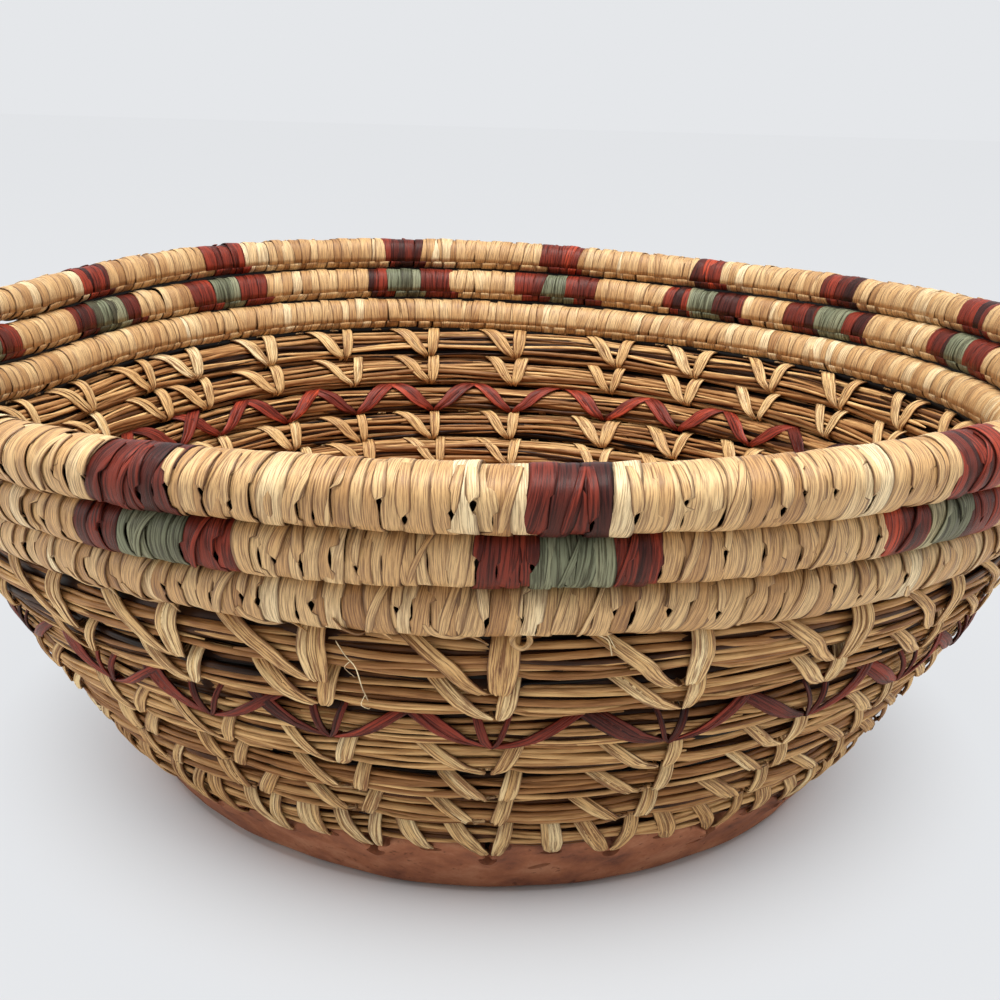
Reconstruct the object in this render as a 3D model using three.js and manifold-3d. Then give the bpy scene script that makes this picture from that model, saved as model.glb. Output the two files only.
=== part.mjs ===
// A coiled pine needle bowl basket on a fired clay saucer, standing on z = 0 with +Z up.
// Lengths are millimetres and angles are degrees. The front of the basket faces -Y.
import * as THREE from "three";
import { mergeVertices } from "three/addons/utils/BufferGeometryUtils.js";
import Module from "manifold-3d";

const wasm = await Module();
wasm.setup();

// Clay saucer
const saucerEdgeHeight = 15.4;
const saucerWallThickness = 6.6;
const saucerFloorThickness = 5;
const saucerFootBevel = 0.8;

// Wall of the bowl: rows climb along one arc that steepens towards the rim
const firstRowRadius = 85;
const wallFootSlope = 56.5;
const wallArcRadius = 327.5;

// Needle bundle, one unbroken coil from the saucer to the rim
const bareRowCount = 7;
const wrappedRowCount = 3;
const bundleHalfHeight = 3.5;
const bundleHalfWidth = 4;
const stepsInStepUp = 3;
const coreStartLength = 6;
const coreEndShare = 0.45;
const tipEndShare = 0.64;

// Raffia that wraps the three rim rows
const wrapHalfHeight = 4.1;
const wrapHalfWidth = 4.2;
const wrapRowGap = 0.9;
const colourWrapThickness = 0.55;
const carriedStrandThickness = 0.4;
const wrapEdgeStep = 0.3;

// Colour motif: a burgundy patch on the rim row over burgundy, sage and burgundy on the row below
const motifCount = 15;
const firstMotifAngle = 5.5;
const motifDrift = [-0.6, 4.5, 3, 1.5, 0, 1, -2, -3, -4, 0, -3, -3.5, -3.9, -4.4, -4.8];
const rimPatchLength = 11.9;
const sidePatchLength = 8.4;
const sagePatchLength = 9.2;
const tieLength = 0.8;
const tieHalfWidth = 1.5;
const tieBite = 0.25;

// V stitches, one strand of raffia round each bare row
const stitchColumns = 27;
const columnsBeforeFront = 5;
const strandWidth = 2;
const strandThickness = 0.7;
const strandRowGap = 1.4;
const strandSpacing = 2.6;
const leanLongArm = 10.2;
const leanShortArm = 3.4;
const zigzagRow = 5;
const leanZigzagArm = 10.1;
const holeDepthBelowEdge = 2.4;
const holeHeight = 1.4;

// Clearance that touching pieces keep
const seat = 0.3;

// How near a cut face's points may lie to a straight to be left out, how near two points are one,
// and what counts as no angle at all
const straightness = 0.005;
const samePoint = 1e-4;
const noAngle = 1e-6;

// Shape of a row across its bundle: the share of the half width that is flat above and below
const flatShare = 0.6;

const fullTurn = 360;
const radians = Math.PI / (fullTurn / 2);
const columnStep = fullTurn / stitchColumns;
const stepUp = stepsInStepUp * columnStep;
const coilStartAngle = -columnsBeforeFront * columnStep;
const rowCount = bareRowCount + wrappedRowCount;
const coilEnd = rowCount * fullTurn;
const wrapStart = bareRowCount * fullTurn;
const footSlope = wallFootSlope * radians;
const saucerTop = -(bundleHalfHeight + seat);

// Radius and height of a point of the wall: so far up the arc from the first row, so far outwards
function arcPoint(up, outward) {
  const slope = footSlope + up / wallArcRadius;
  const across = wallArcRadius * (Math.sin(slope) - Math.sin(footSlope));
  const climb = wallArcRadius * (Math.cos(footSlope) - Math.cos(slope));
  return {
    radius: firstRowRadius + across + outward * Math.sin(slope),
    height: climb - outward * Math.cos(slope),
  };
}

const firstRowHeight = saucerEdgeHeight - arcPoint(saucerTop, saucerWallThickness / 2).height;

function wallPoint(up, outward) {
  const { radius, height } = arcPoint(up, outward);
  return { radius, height: firstRowHeight + height };
}

// How far up the wall each row lies
const rowLines = [0];
for (let row = 1; row <= rowCount; row++) {
  const below = row <= bareRowCount ? bundleHalfHeight : wrapHalfHeight;
  const above = row < bareRowCount ? bundleHalfHeight : wrapHalfHeight;
  const gap = row <= bareRowCount ? strandRowGap : wrapRowGap;
  rowLines.push(rowLines[row - 1] + below + gap + above);
}

// Places along the coil are travels: degrees from the column where its first row is full.
// Share of the step up to the next row that the coil has climbed at a travel
function climbShare(travel) {
  const inTurn = travel - fullTurn * Math.floor(travel / fullTurn);
  return Math.max(0, (inTurn - (fullTurn - stepUp)) / stepUp);
}

function rowLine(travel) {
  const row = Math.floor(travel / fullTurn);
  if (row < 0) return rowLines[0];
  if (row >= rowCount - 1) return rowLines[rowCount - 1];
  return rowLines[row] + climbShare(travel) * (rowLines[row + 1] - rowLines[row]);
}

function columnPoint(column, up, outward) {
  const { radius, height } = wallPoint(up, outward);
  const angle = (column * columnStep + coilStartAngle) * radians;
  return new THREE.Vector3(radius * Math.sin(angle), -radius * Math.cos(angle), height);
}

// The coil runs straight from one stitch column to the next, and so does all that is laid on it
function onCoil(travel, up, outward, onSaucer = false) {
  const column = Math.floor((travel + noAngle) / columnStep);
  const share = travel / columnStep - column;
  const line = (at) => (onSaucer ? 0 : rowLine(at * columnStep));
  const from = columnPoint(column, line(column) + up, outward);
  const to = columnPoint(column + 1, line(column + 1) + up, outward);
  return from.lerp(to, share);
}

function degreesAlong(length, travel, up = 0) {
  return length / wallPoint(rowLine(travel) + up, 0).radius / radians;
}

// Outline of a coiled row, as points [up, outward] round its middle
function rowOutline(halfHeight, halfWidth) {
  const flat = flatShare * halfWidth;
  return [
    [0, halfWidth],
    [halfHeight, flat],
    [halfHeight, -flat],
    [0, -halfWidth],
    [-halfHeight, -flat],
    [-halfHeight, flat],
  ];
}

// Outline of the bundle inside the wraps
function coreOutline(halfHeight, halfWidth) {
  return [
    [0, halfWidth],
    [halfHeight, 0],
    [0, -halfWidth],
    [-halfHeight, 0],
  ];
}

// How full the bundle is where it starts below the step up, and where it ends above it
function startFullness(travel) {
  const pitch = rowLines[1] - rowLines[0];
  return (pitch * climbShare(travel) - strandRowGap) / (2 * bundleHalfHeight);
}

function endFullness(travel) {
  if (travel <= coilEnd - stepUp) return 1;
  const pitch = rowLines[rowCount - 1] - rowLines[rowCount - 2];
  return (pitch * (1 - climbShare(travel)) - wrapRowGap) / (2 * wrapHalfHeight);
}

function ringAt(travel, outline, shift) {
  return outline.map(([up, outward]) => onCoil(travel, up + shift, outward));
}

// A ring of the wrapped rows, so far inside the face of the natural wraps
function wrapRing(travel, inset, outline = rowOutline) {
  const full = endFullness(travel);
  const shift = wrapHalfHeight * (1 - full);
  const halfHeight = wrapHalfHeight * full - inset;
  const halfWidth = wrapHalfWidth * full - inset;
  return ringAt(travel, outline(halfHeight, halfWidth), shift);
}

const recessInset = colourWrapThickness + seat;
const boreInset = recessInset + carriedStrandThickness;
const coreInset = boreInset + seat;

function bundleRing(travel) {
  if (travel < 0) {
    const full = startFullness(travel);
    const shift = -bundleHalfHeight * (1 - full);
    return ringAt(travel, rowOutline(bundleHalfHeight * full, bundleHalfWidth * full), shift);
  }
  if (travel <= wrapStart) return ringAt(travel, rowOutline(bundleHalfHeight, bundleHalfWidth), 0);
  return wrapRing(travel, coreInset, coreOutline);
}

// Travels at both ends of a stretch and at each column between them
function travelsBetween(from, to) {
  const travels = [from];
  const nextColumn = Math.floor((from + noAngle) / columnStep) + 1;
  for (let column = nextColumn; column * columnStep < to - noAngle; column++) {
    travels.push(column * columnStep);
  }
  travels.push(to);
  return travels;
}

// Closed skins are built from rings of points
class Skin {
  constructor() {
    this.points = [];
    this.faces = [];
  }

  addRing(ring) {
    const first = this.points.length;
    this.points.push(...ring);
    return ring.map((point, i) => first + i);
  }

  // Faces between two rings that start on the same side, also where one has fewer points
  join(a, b) {
    let i = 0;
    let j = 0;
    while (i < a.length || j < b.length) {
      if (i < a.length && (i + 1) * b.length <= (j + 1) * a.length) {
        this.faces.push([a[i], a[(i + 1) % a.length], b[j % b.length]]);
        i++;
      } else {
        this.faces.push([a[i % a.length], b[(j + 1) % b.length], b[j]]);
        j++;
      }
    }
  }

  strip(rings) {
    const added = rings.map((ring) => this.addRing(ring));
    for (let i = 1; i < added.length; i++) {
      this.join(added[i - 1], added[i]);
    }
    return added;
  }

  close(ring) {
    for (let i = 1; i < ring.length - 1; i++) {
      this.faces.push([ring[0], ring[i], ring[i + 1]]);
    }
  }

  geometry() {
    const corner = (i) => this.points[i];
    let volume = 0;
    for (const [a, b, c] of this.faces) {
      volume += corner(a).dot(new THREE.Vector3().crossVectors(corner(b), corner(c)));
    }
    const turned = volume < 0 ? this.faces.map(([a, b, c]) => [a, c, b]) : this.faces;
    const built = new THREE.BufferGeometry();
    const places = this.points.flatMap((point) => point.toArray());
    built.setAttribute("position", new THREE.Float32BufferAttribute(places, 3));
    built.setIndex(turned.flat());
    return built;
  }
}

// A solid bar along rings
function bar(rings) {
  const skin = new Skin();
  const added = skin.strip(rings);
  skin.close(added[0].slice().reverse());
  skin.close(added[added.length - 1]);
  return skin.geometry();
}

// A sleeve with a bore, open at both ends or closed over the bore's far end
function sleeve(outerRings, boreRings, blind = false) {
  const skin = new Skin();
  const outer = skin.strip(outerRings);
  const bore = skin.strip(boreRings.slice().reverse());
  const boreStart = bore[bore.length - 1];
  const boreEnd = bore[0];
  skin.join(boreStart, outer[0]);
  if (blind) {
    skin.close(outer[outer.length - 1]);
    skin.close(boreEnd.slice().reverse());
  } else {
    skin.join(outer[outer.length - 1], boreEnd);
  }
  return skin.geometry();
}

// Cuts and joins
function toSolid(geometry) {
  const bare = geometry.clone();
  bare.deleteAttribute("normal");
  bare.deleteAttribute("uv");
  const merged = mergeVertices(bare, samePoint);
  return new wasm.Manifold(
    new wasm.Mesh({
      numProp: 3,
      vertProperties: merged.attributes.position.array,
      triVerts: new Uint32Array(merged.index.array),
    }),
  );
}

function toGeometry(solid) {
  const mesh = solid.asOriginal().simplify(straightness).getMesh();
  const built = new THREE.BufferGeometry();
  const places = [];
  for (let i = 0; i < mesh.numVert; i++) {
    places.push(...mesh.vertProperties.subarray(i * mesh.numProp, i * mesh.numProp + 3));
  }
  built.setAttribute("position", new THREE.Float32BufferAttribute(places, 3));
  built.setIndex(Array.from(mesh.triVerts));
  return built;
}

const basket = new THREE.Group();

function add(name, geometry, material) {
  const mesh = new THREE.Mesh(geometry, material);
  mesh.name = name;
  basket.add(mesh);
}

const clay = new THREE.MeshStandardMaterial({ color: 0x96643f, roughness: 0.75 });
const needles = new THREE.MeshStandardMaterial({ color: 0x8f6b3c, roughness: 0.7 });
const naturalRaffia = new THREE.MeshStandardMaterial({ color: 0xd9bd86, roughness: 0.65 });
const burgundyRaffia = new THREE.MeshStandardMaterial({ color: 0x76403a, roughness: 0.65 });
const sageRaffia = new THREE.MeshStandardMaterial({ color: 0x7c8d7d, roughness: 0.65 });

function columnTravel(row, column) {
  return (row - 1) * fullTurn + column * columnStep;
}

// The first row is lashed to the saucer except where the coil has already climbed over its own start
function lashedToSaucer(travel) {
  return travel < fullTurn - stepUp + columnStep / 2;
}

// Clay saucer: a dish whose sloping wall carries the coil and is pierced under each stitch column
function saucer() {
  const edgeOut = wallPoint(saucerTop, saucerWallThickness / 2);
  const edgeIn = wallPoint(saucerTop, -saucerWallThickness / 2);
  const run = 1 / Math.tan(footSlope);
  const footRadius = edgeOut.radius - edgeOut.height * run;
  const floorRadius = edgeIn.radius - (edgeIn.height - saucerFloorThickness) * run;
  const profile = [
    new THREE.Vector2(0, 0),
    new THREE.Vector2(footRadius - saucerFootBevel, 0),
    new THREE.Vector2(footRadius + saucerFootBevel * run, saucerFootBevel),
    new THREE.Vector2(edgeOut.radius, edgeOut.height),
    new THREE.Vector2(edgeIn.radius, edgeIn.height),
    new THREE.Vector2(floorRadius, saucerFloorThickness),
    new THREE.Vector2(0, saucerFloorThickness),
  ];
  const turned = new THREE.LatheGeometry(profile, stitchColumns);
  turned.rotateX(Math.PI / 2);
  turned.rotateZ(coilStartAngle * radians);
  let body = toSolid(turned);
  const holeTop = saucerTop - holeDepthBelowEdge;
  const reach = saucerWallThickness;
  const halfLength = (strandSpacing + strandWidth) / 2 + seat;
  for (let column = 0; column < stitchColumns; column++) {
    const travel = columnTravel(1, column);
    if (!lashedToSaucer(travel)) continue;
    const half = halfLength / wallPoint(holeTop, 0).radius / radians;
    const rings = [-reach, reach].map((outward) => [
      onCoil(travel - half, holeTop, outward, true),
      onCoil(travel + half, holeTop, outward, true),
      onCoil(travel + half, holeTop - holeHeight, outward, true),
      onCoil(travel - half, holeTop - holeHeight, outward, true),
    ]);
    body = body.subtract(toSolid(bar(rings)));
  }
  return toGeometry(body);
}

add("saucer_base", saucer(), clay);

// Needle coil
const coreEnd = coilEnd - stepUp + coreEndShare * stepUp;
const coreStart = wrapStart + degreesAlong(coreStartLength, wrapStart);
const bundleTravels = [
  ...travelsBetween(-(stepsInStepUp - 1) * columnStep, wrapStart),
  ...travelsBetween(coreStart, coreEnd),
];
const bundleRings = bundleTravels.map(bundleRing);
add("needle_coil", bar(bundleRings), needles);

// Prints the least distance between points of rings that are at least so many rings apart
function printOwnGap(name, rings, apart) {
  let least = Infinity;
  rings.forEach((ring, i) => {
    const farPoints = rings.slice(i + apart).flat();
    for (const point of ring) {
      for (const other of farPoints) {
        least = Math.min(least, point.distanceTo(other));
      }
    }
  });
  console.log(name + " least gap to itself " + least.toFixed(2) + " mm");
}

const halfTurnRings = Math.floor(stitchColumns / 2);
printOwnGap("needle_coil", bundleRings, halfTurnRings);

// Motif places: travels of the middle of each patch on the rim row and of the row below it
const motifs = [];
for (let i = 0; i < motifCount; i++) {
  const angle = firstMotifAngle + (i * fullTurn) / motifCount + motifDrift[i] - coilStartAngle;
  const rimRowStart = coilEnd - fullTurn;
  const turn = angle - fullTurn * Math.floor((angle + columnStep) / fullTurn);
  const rim = rimRowStart + turn;
  const below = rim - fullTurn;
  const halfRim = degreesAlong(rimPatchLength / 2, rim);
  const halfSage = degreesAlong(sagePatchLength / 2, below);
  const sideStart = halfSage + degreesAlong(seat, below);
  const sideEnd = sideStart + degreesAlong(sidePatchLength, below);
  motifs.push({ rim, below, halfRim, halfSage, sideStart, sideEnd });
}

// Natural wraps: one sleeve over the bundle, drawn in where the colours lie over its carried strand
const edgeStep = degreesAlong(wrapEdgeStep, coilEnd - 1);
const edgeSlant = edgeStep / 3;
const recesses = motifs
  .flatMap(({ rim, below, halfRim, sideEnd }) => [
    [rim - halfRim - edgeStep, rim + halfRim + edgeStep],
    [below - sideEnd - edgeStep, below + sideEnd + edgeStep],
  ])
  .sort((a, b) => a[0] - b[0]);
const naturalStart = coreStart + degreesAlong(seat, coreStart);
const naturalEnd = coilEnd - stepUp + tipEndShare * stepUp;
const naturalRings = [];
let stretchStart = naturalStart;
function addStretch(from, to, inset) {
  naturalRings.push(...travelsBetween(from, to).map((travel) => wrapRing(travel, inset)));
}
for (const [from, to] of recesses) {
  addStretch(stretchStart, from, 0);
  addStretch(from + edgeSlant, to - edgeSlant, recessInset);
  stretchStart = to;
}
addStretch(stretchStart, naturalEnd, 0);
const boreEnd = coreEnd + degreesAlong(seat, coreEnd);
const boreTravels = travelsBetween(naturalStart, boreEnd);
const boreRings = boreTravels.map((travel) => wrapRing(travel, boreInset, coreOutline));
add("natural_wraps", sleeve(naturalRings, boreRings, true), naturalRaffia);
printOwnGap("natural_wraps", naturalRings, stitchColumns);

// A patch of coloured wraps round one row
function patch(from, to) {
  const travels = travelsBetween(from, to);
  const outer = travels.map((travel) => wrapRing(travel, 0));
  const bore = travels.map((travel) => wrapRing(travel, colourWrapThickness));
  return sleeve(outer, bore);
}

// The turn of burgundy strand that passes from the row below up to the rim row
function tie(rim, below) {
  const half = degreesAlong(tieLength / 2, rim);
  const above = wrapHalfHeight * (2 * endFullness(rim) - 1) - tieBite;
  const ring = (travel, up) => [
    onCoil(travel - half, up, tieHalfWidth),
    onCoil(travel + half, up, tieHalfWidth),
    onCoil(travel, up, -tieHalfWidth),
  ];
  return bar([ring(below, wrapHalfHeight - tieBite), ring(rim, -above)]);
}

motifs.forEach(({ rim, below, halfRim, halfSage, sideStart, sideEnd }, i) => {
  const number = String(i + 1).padStart(2, "0");
  const tieOffset = (sideStart + halfRim) / 2;
  const burgundy = toSolid(patch(rim - halfRim, rim + halfRim))
    .add(toSolid(patch(below - sideEnd, below - sideStart)))
    .add(toSolid(patch(below + sideStart, below + sideEnd)))
    .add(toSolid(tie(rim - tieOffset, below - tieOffset)))
    .add(toSolid(tie(rim + tieOffset, below + tieOffset)));
  add("motif_burgundy_" + number, toGeometry(burgundy), burgundyRaffia);
  add("motif_sage_" + number, patch(below - halfSage, below + halfSage), sageRaffia);
});

// V stitches: the strand goes down the outside on a long lean, through below the row, up the
// inside, down the outside on a short lean, through again, and up the inside on a long lean
// to the next column
function stitchStrand(row) {
  const isZigzag = row === zigzagRow;
  const longLean = isZigzag ? leanZigzagArm : leanLongArm;
  const shortLean = isZigzag ? leanZigzagArm : leanShortArm;
  const left = -strandSpacing / 2;
  const right = strandSpacing / 2;
  const shortTop = shortLean + (isZigzag ? left : right);
  const face = bundleHalfWidth + seat;
  const edge = bundleHalfHeight + seat;
  const rings = [];
  const turnAround = (travel, up, outward, offset, onSaucer) => {
    const line = onSaucer ? 0 : rowLine(travel);
    const radius = wallPoint(line + up, outward).radius;
    const middle = offset / radius / radians;
    const half = strandWidth / 2 / radius / radians;
    const lift = Math.sign(up) * strandThickness;
    const push = Math.sign(outward) * strandThickness;
    rings.push([
      onCoil(travel + middle - half, up, outward, onSaucer),
      onCoil(travel + middle + half, up, outward, onSaucer),
      onCoil(travel + middle, up + lift, outward + push, onSaucer),
    ]);
  };
  for (let column = 0; column < stitchColumns; column++) {
    const travel = columnTravel(row, column);
    const onSaucer = row === 1 && lashedToSaucer(travel);
    const foot = onSaucer ? saucerTop - holeDepthBelowEdge - seat : -edge;
    turnAround(travel, edge, face, left - longLean);
    turnAround(travel, foot, face, left, onSaucer);
    turnAround(travel, foot, -face, left, onSaucer);
    turnAround(travel, edge, -face, shortTop);
    turnAround(travel, edge, face, shortTop);
    turnAround(travel, foot, face, right, onSaucer);
    turnAround(travel, foot, -face, right, onSaucer);
    if (column < stitchColumns - 1) {
      const next = columnTravel(row, column + 1);
      turnAround(next, edge, -face, left - longLean);
    }
  }
  return rings;
}

const ringsToNextArm = 3;
for (let row = 1; row <= bareRowCount; row++) {
  const rings = stitchStrand(row);
  const name = "stitch_row_" + row;
  add(name, bar(rings), row === zigzagRow ? burgundyRaffia : naturalRaffia);
  printOwnGap(name, rings, ringsToNextArm);
}

export default basket;
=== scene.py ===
import math

import bmesh
import bpy
import numpy as np
from mathutils import Matrix, Vector


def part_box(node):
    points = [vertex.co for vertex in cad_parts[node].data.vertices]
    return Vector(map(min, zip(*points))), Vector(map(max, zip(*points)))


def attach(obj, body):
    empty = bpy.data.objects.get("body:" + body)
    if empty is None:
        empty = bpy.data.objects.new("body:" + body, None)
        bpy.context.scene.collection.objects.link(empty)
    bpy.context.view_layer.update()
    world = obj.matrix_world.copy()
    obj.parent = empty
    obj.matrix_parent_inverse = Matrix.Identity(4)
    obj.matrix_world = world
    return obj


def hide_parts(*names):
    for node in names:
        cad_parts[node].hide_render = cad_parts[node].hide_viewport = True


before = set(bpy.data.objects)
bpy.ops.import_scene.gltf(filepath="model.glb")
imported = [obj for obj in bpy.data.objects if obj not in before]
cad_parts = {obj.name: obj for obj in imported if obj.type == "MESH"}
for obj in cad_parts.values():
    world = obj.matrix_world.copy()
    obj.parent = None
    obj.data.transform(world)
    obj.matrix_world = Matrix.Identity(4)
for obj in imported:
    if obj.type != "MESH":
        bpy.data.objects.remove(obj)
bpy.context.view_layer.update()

MM = 0.001
FULL_TURN = 360.0

# Sizes in millimetres and angles in degrees, as the part has them. The travel of a point is the angle from the
# coil's start to it along the coil. On a row, a turn is the angle round its section, 0 outermost and 90 on top.
SAUCER_WALL = 6.6
SAUCER_FLOOR = 5.0
FOOT_SLOPE = math.radians(56.5)
ARC_RADIUS = 327.5
ROW_ONE_RADIUS = 85.0
BARE_ROWS = 7
WRAPPED_ROWS = 3
ROWS = BARE_ROWS + WRAPPED_ROWS
BUNDLE_HALF_HEIGHT = 3.5
WRAP_HALF_HEIGHT = 4.1
WRAP_HALF_WIDTH = 4.2
STRAND_GAP = 1.4
WRAP_GAP = 0.9
SEAT = 0.3
COLUMNS = 27
COLUMNS_BEFORE_FRONT = 5
STEP_UP_COLUMNS = 3
TIP_END_SHARE = 0.64
ZIGZAG_ROW = 5
HOLE_DEPTH = 2.4
HOLE_HEIGHT = 1.4
MOTIFS = 15
FIRST_MOTIF_ANGLE = 5.5
MOTIF_DRIFT = [-0.6, 4.5, 3, 1.5, 0, 1, -2, -3, -4, 0, -3, -3.5, -3.9, -4.4, -4.8]
RIM_PATCH = 11.9
SIDE_PATCH = 8.4
SAGE_PATCH = 9.2

COLUMN_STEP = FULL_TURN / COLUMNS
STEP_UP = STEP_UP_COLUMNS * COLUMN_STEP
COIL_START = -COLUMNS_BEFORE_FRONT * COLUMN_STEP
WRAP_START = BARE_ROWS * FULL_TURN
COIL_END = ROWS * FULL_TURN
TAPER_START = COIL_END - STEP_UP
SAUCER_TOP = -(BUNDLE_HALF_HEIGHT + SEAT)
HOLE_MIDDLE = SAUCER_TOP - HOLE_DEPTH - HOLE_HEIGHT / 2
LASHING_HOLE = SAUCER_TOP - 1.9
SAUCER_TOP_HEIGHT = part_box("saucer_base")[1].z / MM

# Where some stitch columns stand, in degrees from where evenly spaced ones would
COLUMN_DRIFT = {1: 2, 2: 3.5, 3: 1.7, 4: 0.3, 5: 0.5, 6: 2.2, 7: 2.3, 8: 1.5}
COLUMN_DRIFT |= {18: 3.5, 19: 4.5, 20: 4.8, 21: 4.5, 22: 4.8}

# Slow unevenness of the rows, up and outwards: the waves' seed, their periods in degrees and their size
WANDER_UP = (11, [47, 83, 131], 0.3)
WANDER_OUT = (12, [39, 71, 153], 0.4)
# The rim of the real basket isn't quite level: size of each wave in its rise and fall, and how often it goes round
RIM_HEIGHT = 89.6
RIM_WAVES = ((1.39, np.sin, 1), (1.18, np.sin, 2), (0.56, np.cos, 2), (-0.82, np.sin, 3), (0.13, np.cos, 3))

rng = np.random.default_rng(7)


def unit(vectors):
    return vectors / np.maximum(np.linalg.norm(vectors, axis=-1, keepdims=True), 1e-9)


def bell(distance, width):
    return np.exp(-((distance / width) ** 2))


def shortest_way(degrees):
    return (degrees + 180) % FULL_TURN - 180


def arc_point(up, outward):
    """Radius and height of a point so far up the arc of the bowl's wall from row one and so far outwards."""
    slope = FOOT_SLOPE + up / ARC_RADIUS
    across = ARC_RADIUS * (np.sin(slope) - math.sin(FOOT_SLOPE))
    climb = ARC_RADIUS * (math.cos(FOOT_SLOPE) - np.cos(slope))
    return ROW_ONE_RADIUS + across + outward * np.sin(slope), climb - outward * np.cos(slope)


ROW_ONE_HEIGHT = SAUCER_TOP_HEIGHT - arc_point(SAUCER_TOP, -SAUCER_WALL / 2)[1]


def rows_up_the_arc():
    """How far up the arc the middle of each row is, from row one up."""
    lines = [0.0]
    for row in range(1, ROWS + 1):
        below = BUNDLE_HALF_HEIGHT if row <= BARE_ROWS else WRAP_HALF_HEIGHT
        above = BUNDLE_HALF_HEIGHT if row < BARE_ROWS else WRAP_HALF_HEIGHT
        lines.append(lines[-1] + below + above + (STRAND_GAP if row <= BARE_ROWS else WRAP_GAP))
    return np.array(lines)


ROW_LINES = rows_up_the_arc()


def step_up_share(travel):
    """Share of the way along the latest step up to the next row, at the end of each turn."""
    return np.clip((np.mod(travel, FULL_TURN) - (FULL_TURN - STEP_UP)) / STEP_UP, 0, 1)


def row_line(travel):
    """How far up the arc the middle of the coil is."""
    travel = np.asarray(travel, float)
    row = np.clip(np.floor(travel / FULL_TURN).astype(int), 0, ROWS - 1)
    share = step_up_share(travel)
    climbed = share * share * (3 - 2 * share)
    line = ROW_LINES[row] + climbed * (ROW_LINES[np.minimum(row + 1, ROWS - 1)] - ROW_LINES[row])
    return np.where(travel < 0, 0.0, line)


def waves(travel, seed, periods, size):
    """Slow unevenness of handwork: a sum of waves along the coil."""
    phases = np.random.default_rng(seed).uniform(0, 2 * math.pi, len(periods))
    total = sum(np.sin(2 * math.pi * travel / period + phase) for period, phase in zip(periods, phases))
    return size * total / len(periods)


def place(travel, up, outward):
    """Points so far up from the coil's middle and so far outwards from it."""
    radius, height = arc_point(row_line(travel) + up, outward)
    angle = np.radians(travel + COIL_START)
    radius, angle, height = np.broadcast_arrays(radius, angle, ROW_ONE_HEIGHT + height)
    return np.stack([radius * np.sin(angle), -radius * np.cos(angle), height], -1)


def degrees_along(length, travel):
    radius = arc_point(row_line(travel), 0)[0]
    return np.degrees(length / radius)


def oval(half_height, half_width, power=1.0, raised=0.0):
    """Outline of a row's section, boxier with a lower power."""

    def outline(turn):
        rise = np.sin(np.radians(turn))
        reach = np.cos(np.radians(turn))
        up = half_height * np.sign(rise) * np.abs(rise) ** power + raised
        return up, half_width * np.sign(reach) * np.abs(reach) ** power

    return outline


def on_row(travel, turn, lift, outline):
    """Points on the skin of a row, lifted so far off it, and the skin's normals there."""
    beside, probe = 2, 0.5
    up, outward = outline(turn)
    up_after, outward_after = outline(turn + beside)
    up_before, outward_before = outline(turn - beside)
    normal_up = -(outward_after - outward_before)
    normal_out = up_after - up_before
    size = np.maximum(np.hypot(normal_up, normal_out), 1e-9)
    normal_up, normal_out = normal_up / size, normal_out / size
    up = up + waves(travel, *WANDER_UP)
    outward = outward + waves(travel, *WANDER_OUT)
    skin = place(travel, up + normal_up * lift, outward + normal_out * lift)
    above = place(travel, up + normal_up * (lift + probe), outward + normal_out * (lift + probe))
    return skin, unit(above - skin)


def uneven(points):
    """Gives every height its share of the rim's rise and fall."""
    angle = np.arctan2(points[:, 0], -points[:, 1])
    rise = sum(size * wave(count * angle) for size, wave, count in RIM_WAVES)
    share = np.clip(points[:, 2] / RIM_HEIGHT, 0, 1.05)
    points[:, 2] += rise * (share * share * (1.6 - 0.6 * share))
    return points


def new_object(name, data):
    made = bpy.data.objects.new(name, data)
    bpy.context.scene.collection.objects.link(made)
    return made


class Strands:
    """Collects closed tubes and ribbons, each a grid of rings, and makes one mesh of them.

    The materials read each point's grain (its place across and along the strand, and the strand's own number),
    its strand's tone from dark to light, and how near it is to the strand's rim, where they paint shade.
    """

    def __init__(self):
        self.points, self.grain, self.tone, self.rim = [], [], [], []
        self.loops, self.starts = [], []
        self.count = self.loop_count = 0

    def add(self, rings, across, along, tone, rim=0.0):
        length, ring_size = rings.shape[:2]
        index = self.count + np.arange(length * ring_size).reshape(length, ring_size)
        turned = np.roll(index, -1, axis=1)
        quads = np.stack([index[:-1], index[1:], turned[1:], turned[:-1]], -1).reshape(-1, 4)
        seed = rng.uniform(0, 100)
        self.points.append(rings.reshape(-1, 3))
        self.grain.append(np.stack(np.broadcast_arrays(across, along[:, None], seed), -1).reshape(-1, 3))
        self.tone.append(np.full(length * ring_size, tone))
        self.rim.append(np.broadcast_to(rim, (length, ring_size)).ravel())
        self.loops.append(quads.ravel())
        self.starts.append(self.loop_count + 4 * np.arange(len(quads)))
        self.loop_count += quads.size
        for cap in (index[0], index[-1][::-1]):
            self.loops.append(cap)
            self.starts.append(np.array([self.loop_count]))
            self.loop_count += ring_size
        self.count += length * ring_size

    def build(self, name, material):
        points = uneven(np.concatenate(self.points)) * MM
        loops = np.concatenate(self.loops)
        starts = np.concatenate(self.starts)
        mesh = bpy.data.meshes.new(name)
        mesh.vertices.add(len(points))
        mesh.vertices.foreach_set("co", points.astype(np.float32).ravel())
        mesh.loops.add(len(loops))
        mesh.loops.foreach_set("vertex_index", loops.astype(np.int32))
        mesh.polygons.add(len(starts))
        mesh.polygons.foreach_set("loop_start", starts.astype(np.int32))
        mesh.update(calc_edges=True)
        mesh.validate()
        for layer, kind, key, values in (
            ("grain", "FLOAT_VECTOR", "vector", self.grain),
            ("tone", "FLOAT", "value", self.tone),
            ("rim", "FLOAT", "value", self.rim),
        ):
            values = np.concatenate(values).astype(np.float32).ravel()
            mesh.attributes.new(layer, kind, "POINT").data.foreach_set(key, values)
        mesh.shade_smooth()
        mesh.materials.append(material)
        return new_object(name, mesh)


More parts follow.
